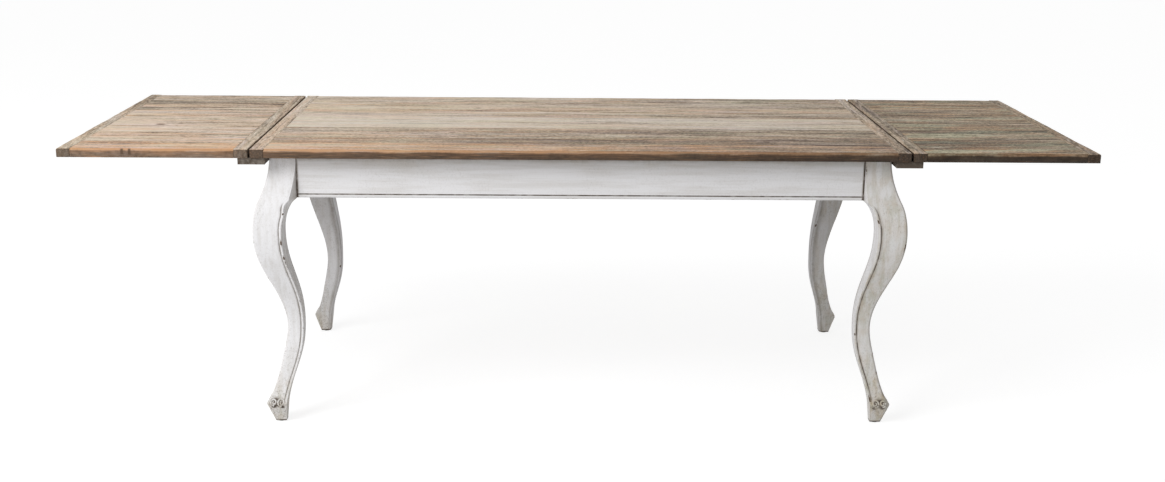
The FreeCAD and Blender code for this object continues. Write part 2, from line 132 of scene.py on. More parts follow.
def random_shift(seed):
    """A place of its own in the noise for each seed."""
    rng = np.random.default_rng(seed)
    return tuple(float(v) for v in rng.uniform(-NOISE_REACH, NOISE_REACH, 3))


class Nodes:
    """The nodes of a material or of the world, and short ways to add to them."""

    def __init__(self, owner):
        owner.use_nodes = True
        self.nodes = owner.node_tree.nodes
        self.links = owner.node_tree.links

    def put(self, socket, value):
        """Give a socket another node's output or a constant."""
        if isinstance(value, bpy.types.NodeSocket):
            self.links.new(value, socket)
        else:
            socket.default_value = value

    def fill(self, node, *values, **named):
        """Put values into the first inputs of a node, and named values into the inputs of that name."""
        for socket, value in zip(node.inputs, values):
            self.put(socket, value)
        for name, value in named.items():
            self.put(node.inputs[name.replace("_", " ")], value)
        return node

    def add(self, kind, *values, **named):
        """A new node with its inputs filled."""
        return self.fill(self.nodes.new("ShaderNode" + kind), *values, **named)

    def math(self, operation, first, second=0.0, third=0.0, clamp=False):
        node = self.add("Math")
        node.operation = operation
        node.use_clamp = clamp
        return self.fill(node, first, second, third).outputs[0]

    def times(self, first, second):
        return self.math("MULTIPLY", first, second)


class Shader(Nodes):
    """A material of the table, and its patterns."""

    def __init__(self, name):
        self.material = bpy.data.materials.new(name)
        super().__init__(self.material)
        self.surface = self.nodes["Principled BSDF"]

    def mask(self, name, output="Fac"):
        """A point mask of the mesh."""
        node = self.add("Attribute")
        node.attribute_name = name
        return node.outputs[output]

    def place(self):
        return self.add("TexCoord").outputs["Object"]

    def parts(self, vector):
        return self.add("SeparateXYZ", vector).outputs

    def stretch(self, vector, scale, shift):
        return self.add("Mapping", Vector=vector, Scale=scale, Location=shift).outputs[0]

    def noise(self, vector, scale, shift=NO_SHIFT, detail=3.0, rough=0.55, bend=0.0):
        place = self.stretch(vector, scale, shift)
        node = self.add("TexNoise", Vector=place, Scale=1.0, Detail=detail, Roughness=rough, Distortion=bend)
        return node.outputs[0]

    def rings(self, vector, scale):
        """Growth rings, as wavy bands."""
        node = self.add("TexWave", Vector=vector, Scale=scale, Distortion=3.0, Detail=2.0, Detail_Scale=1.4)
        node.bands_direction = "Y"
        return node.outputs["Fac"]

    def cells(self, vector, scale):
        """Distance from the middle of a cell, and a random colour for each cell."""
        outputs = self.add("TexVoronoi", Vector=vector, Scale=scale).outputs
        return outputs["Distance"], outputs["Color"]

    def step(self, value, low, high, from_value=0.0, to_value=1.0):
        """A smooth step from one value at low to the other at high."""
        node = self.add("MapRange", value, low, high, from_value, to_value)
        node.interpolation_type = "SMOOTHSTEP"
        return node.outputs[0]

    def ramp(self, value, stops):
        node = self.add("ValToRGB", value)
        elements = node.color_ramp.elements
        for element, (place, shade) in zip(elements, (stops[0], stops[-1])):
            element.position = place
            element.color = shade
        for place, shade in stops[1:-1]:
            elements.new(place).color = shade
        return node.outputs[0]

    def mix(self, share, first, second, way="MIX"):
        """Two colours mixed by a share. The node's colours are its sockets 6 and 7."""
        node = self.add("Mix")
        node.data_type = "RGBA"
        node.blend_type = way
        node.clamp_factor = True
        self.put(node.inputs[0], share)
        self.put(node.inputs[6], first)
        self.put(node.inputs[7], second)
        return node.outputs[2]

    def bump(self, height, distance, strength):
        node = self.add("Bump", Height=height, Distance=distance, Strength=strength)
        self.fill(self.surface, Normal=node.outputs[0])

    def finish(self, base, roughness, specular):
        self.fill(self.surface, Base_Color=base, Roughness=roughness, Specular_IOR_Level=specular)
        return self.material


# Noises of a board: scale along it, across it and down into it
BROAD = (1.1, 13, 14)
PATCHES = (4.2, 56, 24)
DASHES = (15, 60, 34)
STREAKS = (13, 130, 60)
FINE_GRAIN = (40, 620, 160)
SIDE_LINES = (16, 240, 420)
HUES = (2.0, 30, 20)
TINTS = (3.5, 24, 16)
BLEACH = (9, 62, 40)
SLITS = (2.6, 75, 34)
CHECKS = (3.2, 330, 120)
PLANK_FLECKS = (105, 230, 90)
CROSS_FLECKS = (45, 160, 90)
RING_STRETCH, RING_SCALE = (0.15, 1, 1), 15
WHORL_STRETCH, WHORL_SCALE = (1, 1, 1), 45
HOLE_STRETCH, HOLE_SCALE = (1, 1, 0), 7.0
# Weight of each layer in the tone of a board, and the colours of the tone from dark to light
BROAD_SHARE, DASH_SHARE, STREAK_SHARE, RING_SHARE = 0.67, 0.35, 0.70, 0.07
TONE_STOPS = [(0.02, DARK), (0.23, UMBER), (0.37, GREY), (0.50, TAN), (0.63, PALE), (0.80, CREAM)]
CHECK_FROM, CHECK_TO = 0.64, 0.72
UNDER_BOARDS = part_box("main_plank_1")[0][2]
SPLIT_FOOT, SPLIT_FULL = UNDER_BOARDS + 7 * MM, UNDER_BOARDS + 11 * MM
SPLIT_HALF, SPLIT_CORE = 5.0 * MM, 2.0 * MM
BOARD_RELIEF, BOARD_SPECULAR = 1.1 * MM, 0.3


class Plank(Shader):
    """Old wood of a board, with the noises that its colour and its relief share."""

    def __init__(self, name, seed, flecks):
        super().__init__(name)
        self.shift = random_shift(seed)
        self.grain = self.mask("grain", "Vector")
        self.along, _, self.height = self.parts(self.grain)
        self.rim = self.mask("rim")
        self.streak = self.layer(STREAKS, 5, 0.7, bend=0.1)
        self.fine = self.layer(FINE_GRAIN, 3, 0.6)
        self.fleck = self.layer(flecks, 3, 0.7)
        self.check = self.layer(CHECKS, 3, 0.5)
        self.lines = self.layer(SIDE_LINES, 4, 0.65, turned=True, bend=0.1)

    def layer(self, scale, detail, rough, turned=False, bend=0.0):
        """Noise along the grain; turned takes it from another place."""
        shift = self.shift[::-1] if turned else self.shift
        return self.noise(self.grain, scale, shift, detail, rough, bend)

    def tone(self, light, fade, figure, specks):
        """Light and dark grain: figure and specks are how strong its patches and its flecks are."""
        rings = self.rings(self.stretch(self.grain, RING_STRETCH, self.shift), RING_SCALE)
        layers = [
            (self.layer(BROAD, 3, 0.5), BROAD_SHARE * figure),
            (self.layer(PATCHES, 5, 0.6), figure),
            (self.layer(DASHES, 4, 0.6, turned=True), DASH_SHARE * figure),
            (self.streak, STREAK_SHARE),
            (rings, RING_SHARE),
            (self.fleck, specks),
        ]
        middle = 0.5 + light - sum(weight for _, weight in layers) / 2
        tone = self.math("MULTIPLY_ADD", self.along, -fade, middle)
        for layer, weight in layers:
            tone = self.math("MULTIPLY_ADD", layer, weight, tone)
        return self.ramp(tone, TONE_STOPS)

    def tint(self, base, warm, cool, tints, rosy):
        """Warm and silver streaks, then olive and lavender patches."""
        olive, lavender = tints
        hue = self.layer(HUES, 5, 0.65, turned=True)
        patch = self.layer(TINTS, 5, 0.65, turned=True)
        warmth = self.mix(self.step(self.streak, 0.38, 0.62), rosy, ORANGE)
        warming = self.math("MULTIPLY_ADD", self.step(hue, 0.42, 0.64), 0.22 + 0.45 * warm, 0.45 * warm)
        cooling = self.times(self.step(hue, 0.54, 0.34), 0.25 + 0.70 * cool)
        base = self.mix(warming, base, warmth, "COLOR")
        base = self.mix(cooling, base, SILVER, "COLOR")
        base = self.mix(self.step(patch, 0.50, 0.60, 0.0, olive), base, OLIVE, "COLOR")
        return self.mix(self.step(patch, 0.47, 0.37, 0.0, lavender), base, LAVENDER, "COLOR")

    def holes(self):
        """Small round holes, scattered over the board."""
        away, shade = self.cells(self.stretch(self.grain, HOLE_STRETCH, self.shift), HOLE_SCALE)
        chosen = self.step(self.parts(shade)[0], 0.66, 0.70)
        return self.times(self.step(away, 0.024, 0.014), chosen)

    def mark(self, base, hole):
        """Dark pores, bleached places, slits, drying checks, holes and knots."""
        pores = self.mix(0.6, base, UMBER, "MULTIPLY")
        base = self.mix(self.step(self.fine, 0.60, 0.42, 0.0, 0.55), base, pores)
        bleach = self.layer(BLEACH, 4, 0.6, turned=True)
        base = self.mix(self.step(bleach, 0.60, 0.72, 0.0, 0.45), base, CREAM)
        slits = self.layer(SLITS, 4, 0.55, turned=True)
        base = self.mix(self.step(slits, 0.66, 0.74, 0.0, 0.6), base, SLIT)
        base = self.mix(self.step(self.check, CHECK_FROM, CHECK_TO, 0.0, 0.75), base, CHECK)
        base = self.mix(self.times(hole, 0.85), base, SOOT)
        whorl = self.rings(self.stretch(self.grain, WHORL_STRETCH, self.shift), WHORL_SCALE)
        heart = self.mix(whorl, KNOT_DARK, KNOT_LIGHT)
        return self.mix(self.step(self.mask("knot"), 0.2, 0.8, 0.0, 0.85), base, heart)

    def rub_edges(self, base, level, glow):
        """Upper edges worn to orange wood."""
        arris = self.times(self.step(self.rim, 0.02, 0.22), self.step(self.rim, 0.80, 0.50))
        arris = self.times(arris, glow)
        arris = self.times(arris, self.step(self.lines, 0.38, 0.56, 0.7, 1.15))
        return self.mix(arris, base, self.mix(1.0, ARRIS, level, "MULTIPLY"))

    def stain_sides(self, base, level, dark):
        """Brown sides with fine lines along them."""
        stain = self.mix(self.step(self.rim, 0.80, 0.97), RUST, EDGE_BROWN)
        stain = self.mix(self.step(self.lines, 0.60, 0.38, 0.0, 0.75), stain, SOOT)
        stain = self.mix(self.step(self.lines, 0.56, 0.70, 0.0, 0.5), stain, ARRIS)
        stain = self.mix(1.0, stain, level, "MULTIPLY")
        return self.mix(self.times(self.step(self.rim, 0.46, 0.82), dark), base, stain)

    def split_sides(self, base, splits):
        """Dark splits in the upper part of the sides, at places along the board."""
        for split in splits:
            away = self.math("ABSOLUTE", self.math("SUBTRACT", self.along, split))
            upper = self.step(self.height, SPLIT_FOOT, SPLIT_FULL)
            opened = self.times(self.step(away, SPLIT_HALF, SPLIT_CORE), upper)
            side = self.step(self.rim, 0.15, 0.4, 0.0, 0.9)
            base = self.mix(self.times(opened, side), base, EDGE_BROWN)
        return base

    def relief(self, hole):
        """Raised grain, with sunk checks and holes."""
        pits = self.math("ADD", hole, self.step(self.check, CHECK_FROM, CHECK_TO))
        height = self.math("MULTIPLY_ADD", self.fine, 0.45, self.streak)
        height = self.math("MULTIPLY_ADD", self.fleck, 0.4, height)
        height = self.math("MULTIPLY_ADD", self.times(self.rim, self.lines), 0.9, height)
        height = self.math("SUBTRACT", height, self.times(pits, 0.8))
        self.bump(height, BOARD_RELIEF, 0.8)


def weathered(name, seed, tone, sides, flecks, specks, figure, tints, rosy, splits=()):
    """Old wood. tone is how light, warm and cool it is and how it darkens along the board. sides is how
    stained the sides are, how light, how that fades along the board, and how orange the worn edges are.
    flecks is the scale of the flecks, specks and figure how strong flecks and patches are, tints the shares
    of olive and lavender, rosy the second warm colour and splits the places where the sides are split."""
    light, warm, cool, fade = tone
    dark, side_light, side_fade, glow = sides
    s = Plank(name, seed, flecks)
    hole = s.holes()
    level = s.math("MULTIPLY_ADD", s.along, -side_fade, side_light, clamp=True)
    base = s.tone(light, fade, figure, specks)
    base = s.tint(base, warm, cool, tints, rosy)
    base = s.mark(base, hole)
    base = s.rub_edges(base, level, glow * (0.40 + 0.30 * warm))
    base = s.stain_sides(base, level, dark)
    base = s.split_sides(base, splits)
    base = s.mix(s.step(s.mask("crack"), 0.1, 0.8, 0.0, 0.95), base, SOOT)
    s.relief(hole)
    return s.finish(base, s.step(s.streak, 0.3, 0.7, 0.88, 0.66), BOARD_SPECULAR)


# Bare wood: scales of its streaks, pores and blots, and what stretches them along an axis
BARE_STREAKS, BARE_PORES, BARE_BLOTS = 90, 520, (9, 9, 9)
ALONG_X, ALONG_Y, ALONG_Z = (0.06, 1, 1), (1, 0.06, 1), (1, 1, 0.06)
BARE_STOPS = [(0.30, BARE_DARK), (0.50, BARE), (0.78, BARE_LIGHT)]


def bare_wood(name, seed, axis, light):
    """Unfinished wood below the top, with its grain along an axis."""
    s = Shader(name)
    shift = random_shift(seed)
    place = s.place()
    streak = s.noise(place, tuple(BARE_STREAKS * v for v in axis), shift, 5, 0.62, 0.3)
    pores = s.noise(place, tuple(BARE_PORES * v for v in axis), shift, 2)
    blot = s.noise(place, BARE_BLOTS, detail=2)
    tone = s.math("MULTIPLY_ADD", blot, 0.4, s.times(streak, 0.7))
    base = s.ramp(s.math("ADD", tone, light - 0.05), BARE_STOPS)
    base = s.mix(s.step(pores, 0.60, 0.72, 0.0, 0.6), base, BARE_DARK)
    s.bump(s.math("MULTIPLY_ADD", pores, 0.4, streak), 0.8 * MM, 0.7)
    return s.finish(base, s.step(streak, 0.3, 0.7, 0.88, 0.7), 0.35)


# Noises of the paint: scale along X, Y and Z
PAINT_BLOTS = (6, 6, 6)
PAINT_SPECKS = (380, 380, 260)
PAINT_GRAIN = (190, 190, 110)
PAINT_RAGGED = (48, 48, 34)
PAINT_MOTTLE = (38, 38, 28)
BRUSHED_X, BRUSHED_Y, BRUSHED_Z = (5, 70, 70), (70, 5, 70), (70, 70, 5)


def painted(name, seed, strokes, beige, wear):
    """Chalky white paint over dark wood: strokes stretch the brush marks, beige is how stained it is all over,
    and wear gives the masks of worn edges, dirty grooves with painted shade, stain with painted shade and small
    grey specks by place."""
    s = Shader(name)
    shift = random_shift(seed)
    place = s.place()
    # groove carries dirt together with painted shade, and low carries stain together with painted shade on the
    # leg flanks
    edge, groove, low, grit = wear(s, s.parts(place))
    brush = s.noise(place, strokes, shift, 4, 0.6)
    blot = s.noise(place, PAINT_BLOTS, shift, 4, 0.6, 0.5)
    speck = s.noise(place, PAINT_SPECKS, shift, 3, 0.6)
    ragged = s.noise(place, PAINT_RAGGED, shift, 4, 0.65)
    # Beige and greenish stain between the brush marks, with painted shade on the leg flanks turned from the
    # lamp
    base = s.mix(s.step(brush, 0.30, 0.62), PAINT_WORN, PAINT)
    stain = s.times(s.step(blot, 0.34, 0.66, 0.35, 1.0), s.math("ADD", low, beige, clamp=True))
    stain = s.times(stain, s.step(brush, 0.36, 0.62, 1.1, 0.55))
    mottle = s.noise(place, PAINT_MOTTLE, shift, 4, 0.6)
    base = s.mix(stain, base, s.mix(s.step(mottle, 0.40, 0.62), BEIGE, SAGE))
    # Grey specks, then dirt in the grooves, with painted shade below the top, in the carving and on the right
    # legs' outer corners
    grain = s.noise(place, PAINT_GRAIN, shift[::-1], 4, 0.65)
    dotted = s.math("MAXIMUM", s.step(speck, 0.52, 0.72), s.step(grain, 0.53, 0.70))
    dotted = s.times(dotted, s.step(blot, 0.40, 0.66, 0.35, 1.0))
    base = s.mix(s.times(dotted, grit), base, GRIME_AND_SHADE)
    base = s.mix(s.times(groove, s.step(ragged, 0.36, 0.66, 1.0, 0.6)), base, GRIME_AND_SHADE)
    # Darkest where the groove mask is high: dirt, and painted shade in the carving and below the top
    deep_dirt_and_shade = s.times(s.step(groove, 0.7, 1.0), s.step(ragged, 0.62, 0.42, 0.3, 0.95))
    base = s.mix(deep_dirt_and_shade, base, CHIP_AND_SHADE)
    # Rubbed edges, with the paint gone in places
    rubbed = s.times(edge, s.step(ragged, 0.54, 0.68))
    base = s.mix(s.times(rubbed, 0.40), base, GRIME_AND_SHADE)
    gone = s.step(s.times(edge, ragged), 0.605, 0.64)
    base = s.mix(gone, base, s.mix(speck, CHIP_AND_SHADE, UMBER))
    height = s.math("MULTIPLY_ADD", speck, 0.30, s.times(brush, 0.5))
    s.bump(s.math("SUBTRACT", height, gone), 0.7 * MM, 0.6)
    return s.finish(base, s.step(brush, 0.3, 0.7, 0.66, 0.52), 0.35)


STEEL_SEED, STEEL_SPOTS = 31, (180, 180, 180)
GLIDE_SPOTS = (260, 260, 260)


def old_steel():
    """Dull steel with specks of rust."""
    s = Shader("old_steel")
    spots = s.noise(s.place(), STEEL_SPOTS, random_shift(STEEL_SEED), 4, 0.6)
    s.fill(s.surface, Metallic=1.0)
    shade = s.mix(s.step(spots, 0.52, 0.72, 0.0, 0.7), STEEL, STEEL_RUST)
    s.bump(spots, 0.2 * MM, 0.4)
    return s.finish(shade, s.step(spots, 0.35, 0.7, 0.34, 0.62), 0.5)


def dark_glide():
    """Dark moulded plastic, scuffed."""
    s = Shader("dark_glide")
    spots = s.noise(s.place(), GLIDE_SPOTS)
    s.bump(spots, 0.2 * MM, 0.5)
    return s.finish(s.mix(spots, GLIDE_DARK, GLIDE_LIGHT), s.step(spots, 0.3, 0.7, 0.5, 0.75), 0.4)


# Making of meshes
SHARP_ANGLE = math.radians(38)
WAVES = 5


def make_piece(name, points, faces, body, material, masks):
    """A mesh piece that rides on a body, with point masks for its material."""
    mesh = bpy.data.meshes.new(name)
    mesh.from_pydata(points.reshape(-1, 3).tolist(), [], faces)
    mesh.polygons.foreach_set("use_smooth", [True] * len(mesh.polygons))
    mesh.set_sharp_from_angle(angle=SHARP_ANGLE)
    for key, values in masks.items():
        kind, field = ("FLOAT_VECTOR", "vector") if values.shape == points.shape else ("FLOAT", "value")
        flat = values.astype(np.float32).ravel()
        mesh.attributes.new(key, kind, "POINT").data.foreach_set(field, flat)
    mesh.materials.append(material)
    piece = link(bpy.data.objects.new(name, mesh))
    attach(piece, body)
    return piece


def skin(stations, ring, turned=False):
    """Faces of a closed tube of rings, with a face on each end; turned has them face the other way."""
    faces = []
    for k in range(stations - 1):
        for j in range(ring):
            a = k * ring + j
            b = k * ring + (j + 1) % ring
            faces.append((a, b, b + ring, a + ring))
    faces.append(tuple(range(ring - 1, -1, -1)))
    faces.append(tuple(range((stations - 1) * ring, stations * ring)))
    return [f[::-1] for f in faces] if turned else faces


def gather(columns, stations):
    """Columns of values, each a number or one number per station, as one grid for each value."""
    return [np.stack([np.broadcast_to(v, (stations,)) for v in values], 1) for values in zip(*columns)]


def ripple(rng, shortest, longest):
    """A smooth wavy line between about -1 and 1."""
    lengths = rng.uniform(shortest, longest, WAVES)
    starts = rng.uniform(0, 2 * math.pi, WAVES)
    sizes = rng.uniform(0.5, 1.0, WAVES)
    sizes /= sizes.sum()

    def line(x):
        x = np.asarray(x, float)
        return sum(a * np.sin(2 * math.pi * x / w + p) for a, w, p in zip(sizes, lengths, starts))
    return line


def hump(x, start, end):
    """Rises from 0 at start to 1 halfway and falls back to 0 at end."""
    t = np.clip((x - start) / (end - start), 0, 1)
    return np.sin(math.pi * t) ** 0.7


# Boards of the top and the leaves
STATION, COLUMN = 6 * MM, 7 * MM
LEAST_STATIONS, LEAST_COLUMNS = 8, 5
LONG_WEAR, END_WEAR, GAP_WEAR, JOINT_WEAR, SEAM_WEAR = 8.5 * MM, 5.0 * MM, 1.6 * MM, 1.0 * MM, 0.4 * MM
EDGE_CLEAR, SKIN_CLEAR, SIDE_CLEAR = 0.1 * MM, 0.05 * MM, 1.5 * MM
FOOT_ROUND, ARC_STEPS, ARC_SQUASH = 1.0 * MM, 5, 0.95
PLANK_BEVEL, CROSS_BEVEL = 0.25 * MM, 1.4 * MM
PLANK_END_SOIL, CROSS_END_SOIL = 0.5, 0.95
EDGE_SOIL, SEAM_SOIL = 0.8, 0.1
CRACK_HALF, CRACK_WANDER = 1.1 * MM, 4.0 * MM
# Cracks as shares of the board's width and length
CRACK_BAND, CRACK_APART, CRACK_REACH, CRACK_LENGTH = (0.14, 0.86), 0.12, 0.10, (0.12, 0.45)
CRACK_DEPTH = (1.6 * MM, 3.4 * MM)
CUP, STEP, HOLLOW = 0.4 * MM, 0.30 * MM, 0.35 * MM
# Shortest and longest waves
EDGE_WAVES, SIDE_WAVES, CRACK_WAVES = (0.05, 0.4), (0.04, 0.5), (0.12, 0.7)
HOLLOW_WAVES, HOLLOW_WAVES_ACROSS = (0.15, 0.9), (0.3, 1.4)

# Knots by board: along, across and size
KNOTS = {
    "left_leaf_plank_4": [(-1.2025, -0.088, 13 * MM)],
    "right_leaf_plank_6": [(0.939, 0.291, 12 * MM)],
    "main_plank_5": [(0.405, 0.039, 6 * MM)],
    "main_plank_7": [(-0.31, 0.226, 7 * MM)],
    "main_plank_2": [(0.508, -0.300, 8 * MM)],
    "main_plank_3": [(-0.36, -0.190, 8 * MM), (0.13, -0.235, 6 * MM)],
}


def side_wobble(rng, wear, u):
    """How far a side strays inwards along the board, most on its open edges."""
    reach = 1.0 if wear > GAP_WEAR else 0.25 * wear / JOINT_WEAR
    return (0.5 + 0.5 * ripple(rng, *SIDE_WAVES)(u)) * reach * MM


def crack_lines(rng, count, start, end):
    """Cracks that keep apart: share across the board, start, end, depth and wandering line of each."""
    lines = []
    for _ in range(count):
        share = rng.uniform(*CRACK_BAND)
        if any(abs(share - other[0]) < CRACK_APART for other in lines):
            continue
        length = rng.uniform(*CRACK_LENGTH) * (end - start)
        begin = rng.uniform(start - 0.3 * length, end - 0.7 * length)
        depth = rng.uniform(*CRACK_DEPTH)
        lines.append((share, begin, begin + length, depth, ripple(rng, *CRACK_WAVES)))
    return lines


def top_shares(width, lines):
    """Shares across the top where its points lie, with three together along each crack."""
    shares = list(np.linspace(0, 1, max(LEAST_COLUMNS, int(width / COLUMN))))
    half = CRACK_HALF / width
    for share, *_ in lines:
        shares = [v for v in shares if abs(v - share) > 1.6 * half or v in (0, 1)]
        shares += [share - half, share, share + half]
    return np.array(sorted(shares))


def open_cracks(lines, u, shares, v_top):
    """Draws the points of the top to its cracks. Gives how deep and how open the cracks are at each point."""
    sunk = np.zeros_like(v_top)
    opening = np.zeros_like(v_top)
    for share, start, end, depth, wander in lines:
        opened = hump(u, start, end)
        near = np.exp(-(((shares - share) / CRACK_REACH) ** 2))
        near[[0, -1]] = 0
        v_top += (CRACK_WANDER * wander(u))[:, None] * near[None, :]
        middle = int(np.argmin(abs(shares - share)))
        sunk[:, middle] += depth * opened
        opening[:, middle] = np.maximum(opening[:, middle], opened)
        for side in (middle - 1, middle + 1):
            v_top[:, side] += (v_top[:, middle] - v_top[:, side]) * (0.75 - 0.6 * opened)
    return sunk, opening


def planed(rng, u, shares):
    """Depth of hand-planed hollows, a little cup and a step between neighbours."""
    cup = rng.uniform(-CUP, CUP)
    step = rng.uniform(0.0, STEP)
    hollow = ripple(rng, *HOLLOW_WAVES)(u)[:, None] * ripple(rng, *HOLLOW_WAVES_ACROSS)(shares)[None, :]
    outward = (2 * shares - 1) ** 2
    cupped = abs(cup) * (outward if cup > 0 else 1 - outward)
    return step + HOLLOW * (1 + hollow) + cupped[None, :]


def board_side(edge, inward, radius, z_top, bottom, top, soil):
    """Columns up one side of a board and over its worn upper edge: across, height, rim and crack."""
    foot = bottom + FOOT_ROUND
    reach = top - SIDE_CLEAR - radius * ARC_SQUASH
    columns = [(edge, foot + (reach - foot) * t, 1.0 - 0.15 * t, 0.0) for t in (0.0, 0.5, 1.0)]
    turns = np.linspace(0, math.pi / 2, ARC_STEPS)
    for a in turns[1:-1]:
        drop = radius * (1 - math.sin(a)) * ARC_SQUASH
        v = edge + inward * radius * (1 - math.cos(a))
        columns.append((v, z_top - drop, soil * (1 - a / turns[-1]), 0.0))
    return columns


def drawn_in(values, low, high, margin):
    """Values between two limits, shrunk to leave a margin at both."""
    middle = (low + high) / 2
    return middle + (values - middle) * (1 - 2 * margin / (high - low))


def knot_bends(knots, long, v):
    """Where the grain runs round the knots, and the mask of the knots."""
    bent = v.copy()
    mask = np.zeros_like(v)
    for at_u, at_v, size in knots:
        far = ((long - at_u) / (2.2 * size)) ** 2 + ((v - at_v) / (1.5 * size)) ** 2
        bent = bent - (v - at_v) * 0.75 * np.exp(-far / 3)
        heart = ((long - at_u) / (1.35 * size)) ** 2 + ((v - at_v) / size) ** 2
        mask = np.maximum(mask, np.exp(-heart))
    return bent, mask


def board(node, body, along, ends, wear, seed, material, cracks):
    """A worn board in the place of a node. Its grain runs along an axis, ends are its limits there, and wear
    is how far its low and high upper edges are rounded off."""
    rng = np.random.default_rng(seed)
    low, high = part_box(node)
    across = 1 - along
    left, right = low[across], high[across]
    bottom, top = low[2], high[2]
    bevel, end_soil = (PLANK_BEVEL, PLANK_END_SOIL) if along == 0 else (CROSS_BEVEL, CROSS_END_SOIL)
    stations = max(LEAST_STATIONS, int((ends[1] - ends[0]) / STATION))
    u = np.concatenate([ends[:1], np.linspace(ends[0] + bevel, ends[1] - bevel, stations - 2), ends[1:]])
    radii = [w * (1 + 0.35 * ripple(rng, *EDGE_WAVES)(u)) for w in wear]
    wobbles = [side_wobble(rng, w, u) for w in wear]
    edge_low = left + EDGE_CLEAR + wobbles[0]
    edge_high = right - EDGE_CLEAR - wobbles[1]
    # The top, from one worn edge to the other
    lines = crack_lines(rng, cracks, *ends)
    shares = top_shares(right - left, lines)
    inner_low, inner_high = edge_low + radii[0], edge_high - radii[1]
    v_top = inner_low[:, None] + (inner_high - inner_low)[:, None] * shares[None, :]
    sunk, opening = open_cracks(lines, u, shares, v_top)
    z_top = top - SKIN_CLEAR - (sunk + planed(rng, u, shares))
    # The ring: up the low side, over the top, down the high side and back below
    soil = [EDGE_SOIL if w > GAP_WEAR or w == JOINT_WEAR else SEAM_SOIL for w in wear]
    rising = board_side(edge_low, 1, radii[0], z_top[:, 0], bottom, top, soil[0])
    falling = board_side(edge_high, -1, radii[1], z_top[:, -1], bottom, top, soil[1])[::-1]
    over = [(v_top[:, j], z_top[:, j], 0.0, opening[:, j]) for j in range(len(shares))]
    under = bottom + SKIN_CLEAR
    below = [
        (edge_high - FOOT_ROUND, under, 0.9, 0.0),
        ((edge_low + edge_high) / 2, under, 0.7, 0.0),
        (edge_low + FOOT_ROUND, under, 0.9, 0.0),
    ]
    v, z, rim, crack = gather(rising + over + falling + below, stations)
    for k in (0, -1):
        v[k] = drawn_in(v[k], left, right, bevel)
        z[k] = drawn_in(z[k], bottom, top, bevel)
        rim[k] = np.maximum(rim[k], end_soil)
    long = np.repeat(u[:, None], v.shape[1], 1)
    bent, knot = knot_bends(KNOTS.get(node, ()), long, v)
    points = np.stack([long, v, z] if along == 0 else [v, long, z], -1)
    masks = {"grain": np.stack([long, bent, z], -1), "knot": knot, "crack": crack, "rim": rim}
    faces = skin(*v.shape, turned=along == 0)
    piece = make_piece("worn_" + node, points, faces, body, material, masks)
    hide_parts(node)


# Planks: light, warm, cool and fade of each, from the front to the back
MAIN_TONES = [
    (0.04, 1.45, 0.0, 0.19), (-0.09, 0.70, 0.1, 0.13), (-0.02, 0.50, 0.1, 0.12), (0.25, 0.15, 0.4, 0.15),
    (0.28, 0.20, 0.3, 0.16), (0.18, 0.45, 0.1, 0.12), (0.17, 0.60, 0.0, 0.12), (0.10, 0.40, 0.2, 0.12),
]
LEFT_TONES = [
    (0.17, 1.60, 0.0, 0.0), (0.33, 0.58, 0.0, 0.0), (0.30, 0.48, 0.0, 0.0), (0.22, 0.55, 0.0, 0.0),
    (0.13, 0.55, 0.0, 0.0), (-0.05, 0.50, 0.0, 0.0), (-0.01, 0.45, 0.1, 0.0),
]
RIGHT_TONES = [
    (-0.15, 1.00, 0.0, 0.0), (-0.17, 0.90, 0.0, 0.0), (-0.16, 0.80, 0.0, 0.0), (-0.13, 0.80, 0.0, 0.0),
    (-0.12, 0.80, 0.0, 0.0), (-0.09, 0.95, 0.0, 0.0), (-0.11, 0.80, 0.0, 0.0),
]
# How light the sides of planks are, how that fades along them, and the orange of their worn edges
PLANK_SIDES = (0.80, 0.46, 1.0)
PLANK_SPECKS = 1.2
PLANK_GAP = 0.1 * MM
# Splits in the front edge of a leaf
SPLITS = {"left_leaf_plank_1": (-1.2085, -1.1890)}
# Planks with a calmer figure than the rest
CALM = {"main_plank_1": 0.8, "main_plank_2": 0.65, "main_plank_3": 0.7}
# The seed of a board's shape is its material's seed and this
SHAPE_SEED = 50


def planked(prefix, tones, first_board, last_board, body, seed, cracks, tints, side_dark, figure, rosy):
    """Planks from one cross board to the other."""
    ends = (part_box(first_board)[1][0] + PLANK_GAP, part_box(last_board)[0][0] - PLANK_GAP)
    for n, tone in enumerate(tones, 1):
        node = f"{prefix}plank_{n}"
        own_figure = figure * CALM.get(node, 1.0)
        wood = weathered("weathered_" + node, seed + n, tone, (side_dark, *PLANK_SIDES), PLANK_FLECKS,
                         PLANK_SPECKS, own_figure, tints, rosy, SPLITS.get(node, ()))
        wear = [LONG_WEAR if outer else JOINT_WEAR for outer in (n == 1, n == len(tones))]
        board(node, body, 0, ends, wear, seed + SHAPE_SEED + n, wood, cracks)


planked("main_", MAIN_TONES, "main_end_left", "main_end_right", "table",
        seed=100, cracks=4, tints=(0.40, 0.22), side_dark=0.95, figure=1.2, rosy=PINK)
planked("left_leaf_", LEFT_TONES, "left_leaf_end_outer", "left_leaf_end_inner", "left_leaf",
        seed=200, cracks=2, tints=(0.30, 0.25), side_dark=0.80, figure=1.65, rosy=PINK)
planked("right_leaf_", RIGHT_TONES, "right_leaf_end_inner", "right_leaf_end_outer", "right_leaf",
        seed=300, cracks=2, tints=(1.0, 0.0), side_dark=0.95, figure=0.9, rosy=OCHRE)

